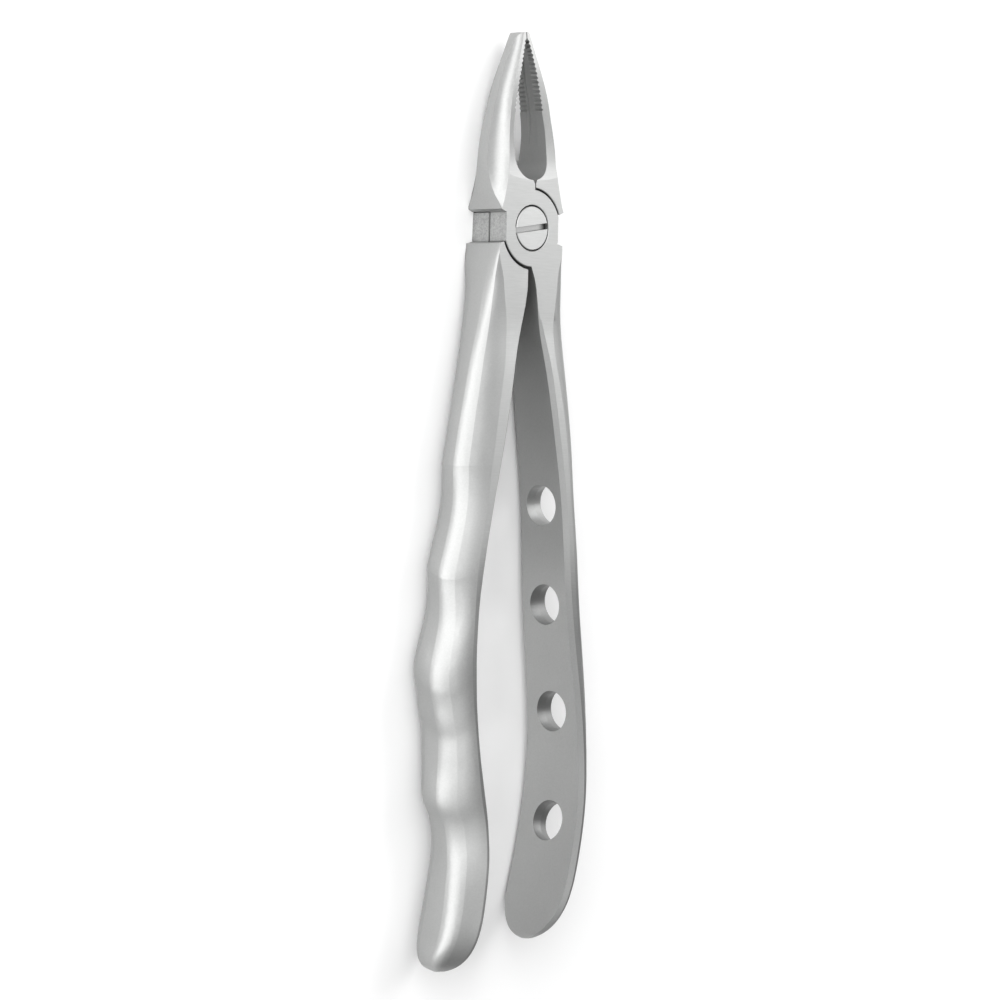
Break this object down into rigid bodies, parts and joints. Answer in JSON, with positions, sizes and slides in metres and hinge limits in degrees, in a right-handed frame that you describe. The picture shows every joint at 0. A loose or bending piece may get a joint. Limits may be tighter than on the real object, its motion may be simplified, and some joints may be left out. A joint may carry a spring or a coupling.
{
  "type": "dental extraction forceps",
  "caption": "Hand forceps for pulling teeth: serrated straight beaks, screw lap joint, one handle with finger waves and one smooth handle with through-holes.",
  "frame": {"origin": "on the joint axis, at the flat back face of the lap joint", "axes": "+Y along the tool towards the tips of the beaks, +Z along the joint axis towards the slotted head of the screw, +X towards the smooth handle"},
  "size_m": [0.0379, 0.1753, 0.0164],
  "materials": {
    "front_half": "satin, finely brushed",
    "back_half": "satin, finely brushed",
    "pivot_screw": "ground flush with the joint"
  },
  "bodies": {
    "back_half": {"back_half": "back_half", "pivot_screw": "pivot_screw"},
    "front_half": {"front_half": "front_half"}
  },
  "joints": [
    {"name": "lap_joint", "type": "hinge", "parent": "back_half", "child": "front_half", "pos_m": [0, 0, 0], "axis": [0, 0, 1], "range_deg": [0, 38]}
  ]
}
